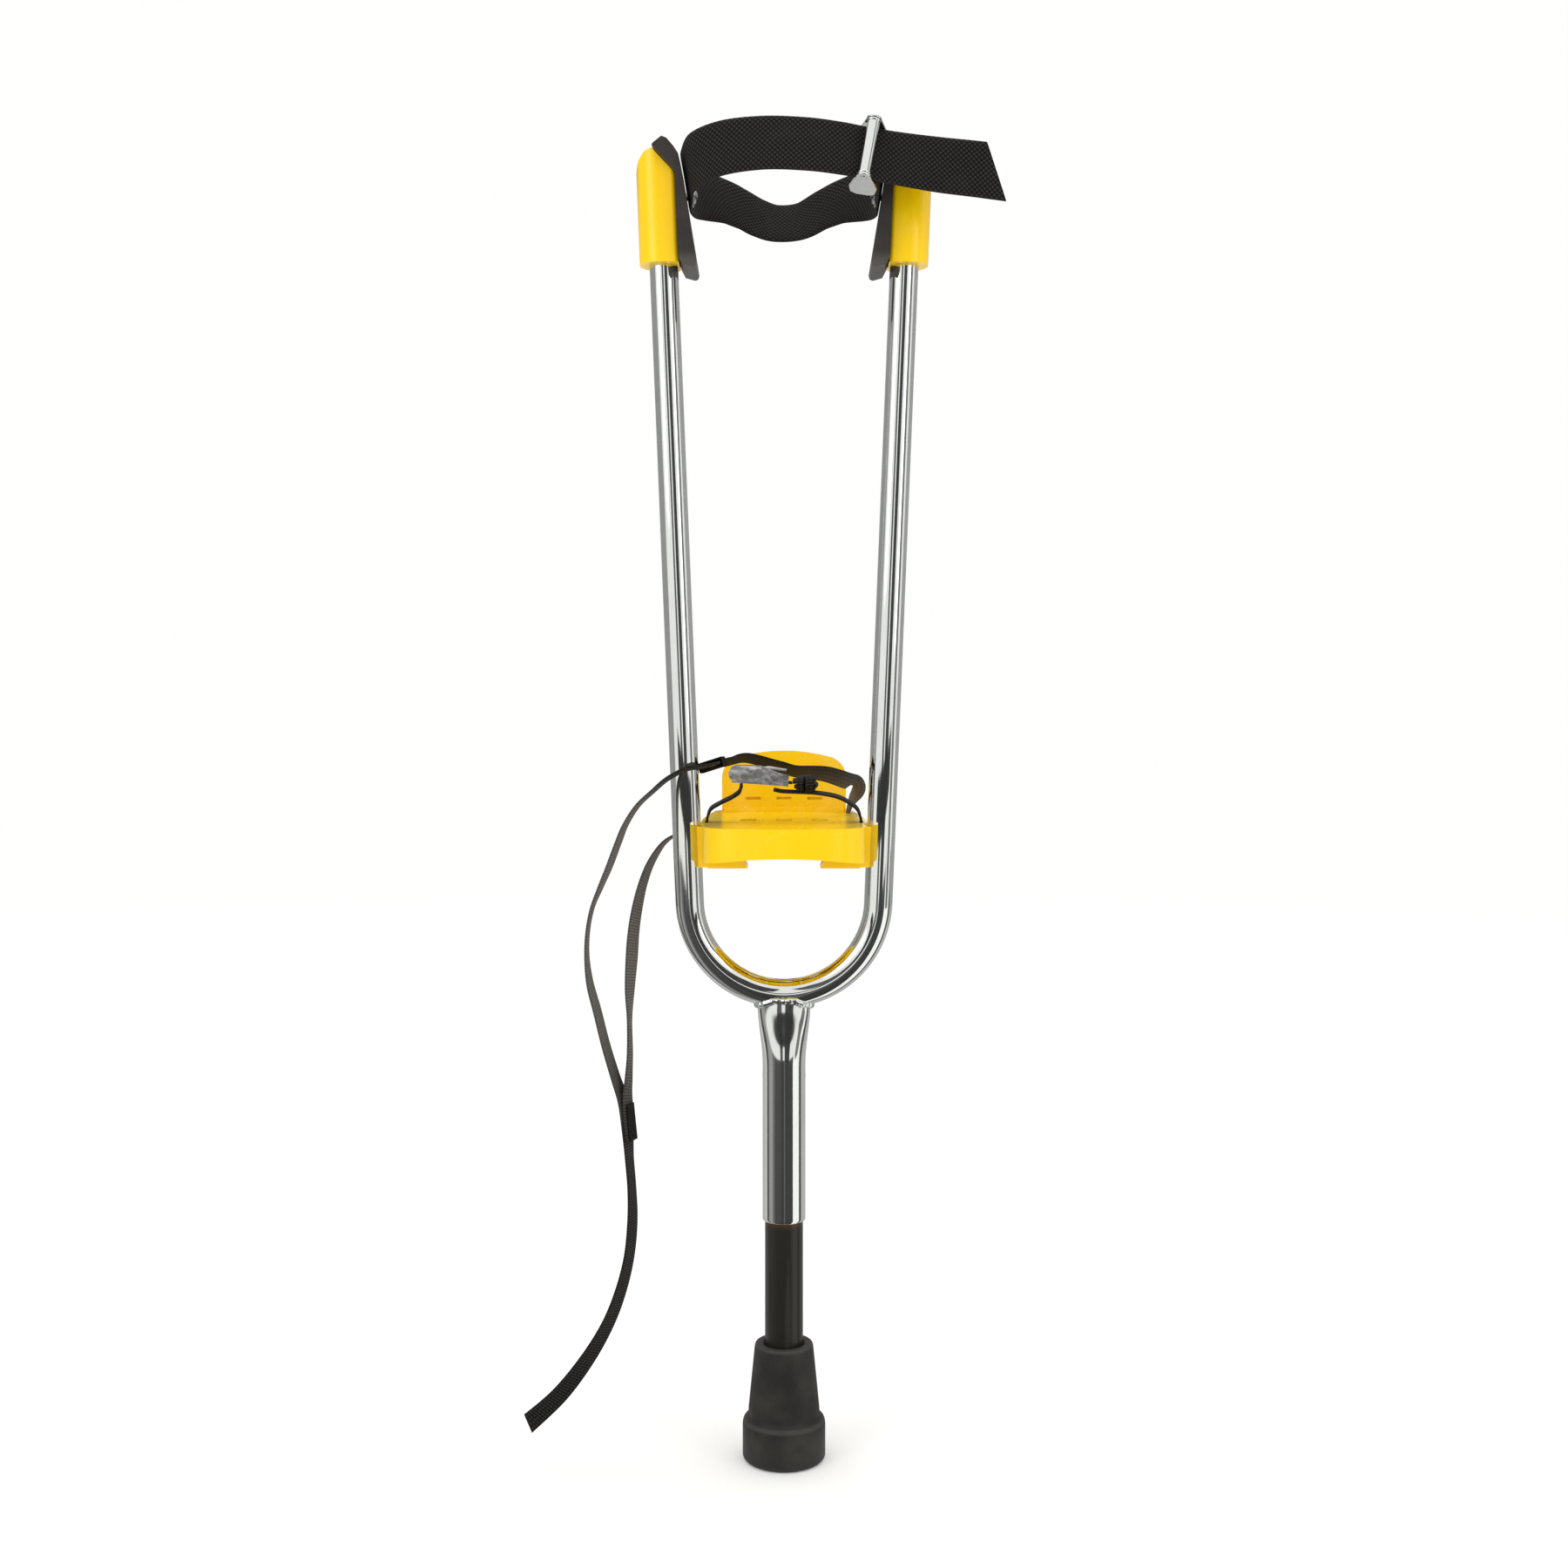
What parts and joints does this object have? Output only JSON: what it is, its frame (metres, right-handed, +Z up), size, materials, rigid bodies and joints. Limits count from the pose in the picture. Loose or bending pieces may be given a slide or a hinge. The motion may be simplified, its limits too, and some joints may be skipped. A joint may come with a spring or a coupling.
{
  "type": "sprung jumping stilt",
  "caption": "Leg-worn sprung stilt: bent tube frame on a spring plunger with a rubber foot, moulded foot platform, padded calf cuff and webbing straps.",
  "frame": {"origin": "centre of the rubber foot's flat base, on the ground", "axes": "+Z up along the stem, +X across from leg to leg of the frame, toe end of the platform to -Y and heel cup to +Y"},
  "size_m": [0.3189, 0.2255, 0.8768],
  "materials": {
    "chrome_tube": "bright chrome plate over bent steel tube",
    "chrome_fitting": "bright plated pressed steel",
    "zinc_steel": "plain zinc-plated steel",
    "spring_steel": "oiled spring steel",
    "black_paint": "semi-gloss black painted tube",
    "foot_rubber": "matte charcoal rubber",
    "pad_rubber": "smooth dark grey rubber",
    "yellow_plastic": "glossy injection-moulded yellow plastic",
    "black_webbing": "black woven polypropylene webbing"
  },
  "bodies": {
    "frame": {"frame_tube": "chrome_tube", "sleeve": "chrome_tube", "sleeve_head": "chrome_tube", "weld_bead": "chrome_tube", "spring_rod": "zinc_steel", "rod_pin": "zinc_steel", "main_spring": "spring_steel", "deck": "yellow_plastic", "heel_cup": "yellow_plastic", "heel_screws": "zinc_steel", "deck_screws": "zinc_steel", "deck_washers": "zinc_steel", "frame_inserts": "zinc_steel", "cap_left": "yellow_plastic", "cap_right": "yellow_plastic", "pad_left": "pad_rubber", "pad_right": "pad_rubber", "pad_rivets": "zinc_steel", "rivet_washers": "zinc_steel", "calf_strap": "black_webbing", "calf_buckle": "chrome_fitting", "toe_strap_left": "black_webbing", "toe_strap_right": "black_webbing", "toe_strap_knot": "black_webbing", "toe_strap_under": "black_webbing", "toe_buckle": "chrome_fitting", "toe_pin": "zinc_steel", "ankle_strap_long": "black_webbing", "ankle_strap_short": "black_webbing", "ankle_strap_under": "black_webbing", "ankle_stitching": "black_webbing", "ankle_tie": "black_webbing"},
    "plunger": {"plunger_tube": "black_paint", "plunger_collar": "zinc_steel", "stop_collar": "zinc_steel", "collar_pin": "zinc_steel", "spring_plug": "zinc_steel", "plug_pin": "zinc_steel", "rubber_foot": "foot_rubber", "foot_washer": "zinc_steel"},
    "lever": {"toe_lever": "chrome_fitting"},
    "roller": {"calf_roller": "chrome_fitting"}
  },
  "joints": [
    {"name": "plunger_slide", "type": "slide", "parent": "frame", "child": "plunger", "axis": [0, 0, 1], "range_m": [0, 0.055], "stiffness_N_per_m": 5000, "springref_m": -0.03, "deforming": ["main_spring"]},
    {"name": "toe_lever_hinge", "type": "hinge", "parent": "frame", "child": "lever", "pos_m": [-0.0172, 0.015, 0.45464], "axis": [0, -1, 0], "range_deg": [0, 75]},
    {"name": "roller_spin", "type": "hinge", "parent": "frame", "child": "roller", "pos_m": [0.054, -0.05638, 0.85471], "axis": [0.1736, 0.2549, 0.9513], "continuous": true}
  ]
}
